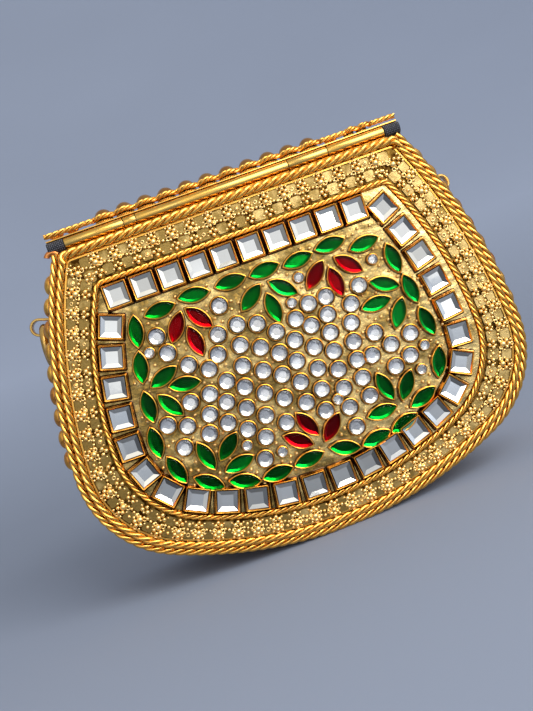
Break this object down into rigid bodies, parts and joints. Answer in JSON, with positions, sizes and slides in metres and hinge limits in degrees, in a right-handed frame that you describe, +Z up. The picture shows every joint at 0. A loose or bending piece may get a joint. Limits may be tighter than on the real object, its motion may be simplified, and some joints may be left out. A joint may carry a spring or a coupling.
{
  "type": "clutch bag",
  "caption": "Small evening clutch of gold-coloured metal with a flared body, rope edging, beaded border, a stone-set front flap on a barrel hinge, and a strap ring on each side.",
  "frame": {"origin": "bottom centre of the bounding box, on the facets of the two rim ropes that the bag stands on", "axes": "+X to the viewer's right when the flap is seen from the front, -Y the front, +Z up"},
  "size_m": [0.1622, 0.0488, 0.1267],
  "materials": {
    "gold": "polished sheet with a warm gold colour",
    "rope_gold": "polished twisted wire, dark in the grooves",
    "dull_gold": "aged gold colour, olive and matt between the beads",
    "panel_gold": "lightly hammered bright sheet that carries the stones",
    "satin_gold": "brushed satin",
    "copper": "dull copper colour",
    "steel": "plain wire",
    "nickel": "plated",
    "velvet": "short black pile",
    "black_cloth": "black woven tape"
  },
  "bodies": {
    "body": {"back_panel": "gold", "back_rim_rope": "rope_gold", "body_lining": "velvet", "closure_magnet": "nickel", "end_dome_1": "gold", "end_dome_2": "gold", "eye_left": "satin_gold", "eye_right": "satin_gold", "fabric_rail": "black_cloth", "front_rim_rope": "rope_gold", "hinge_body_leaf": "satin_gold", "hinge_pin": "steel", "rim_ledge": "dull_gold", "rope_end_cap": "copper", "side_band": "dull_gold", "top_dome_01": "gold", "top_dome_02": "gold", "top_dome_03": "gold", "top_dome_04": "gold", "top_dome_05": "gold", "top_dome_06": "gold", "top_dome_07": "gold", "top_dome_08": "gold", "top_dome_09": "gold", "top_dome_10": "gold", "top_dome_11": "gold", "top_front_rope": "rope_gold", "top_strip": "gold"},
    "flap": {"flap_plate": "gold", "flap_rim_rope": "rope_gold", "flap_top_rope": "rope_gold", "panel_rope": "rope_gold", "filigree_border": "dull_gold", "inner_panel": "panel_gold", "flap_lining": "velvet", "flap_strike_plate": "nickel", "hinge_flap_leaf": "satin_gold"},
    "ring_left": {"ring_left": "satin_gold"},
    "ring_right": {"ring_right": "satin_gold"}
  },
  "joints": [
    {"name": "flap_hinge", "type": "hinge", "parent": "body", "child": "flap", "pos_m": [0, -0.02011, 0.11919], "axis": [-1, 0, 0], "range_deg": [0, 104]},
    {"name": "ring_left_swing", "type": "hinge", "parent": "body", "child": "ring_left", "pos_m": [-0.07394, 0, 0.09804], "axis": [0, 1, 0], "range_deg": [0, 150]},
    {"name": "ring_right_swing", "type": "hinge", "parent": "body", "child": "ring_right", "pos_m": [0.07394, 0, 0.09804], "axis": [0, -1, 0], "range_deg": [0, 150]}
  ]
}
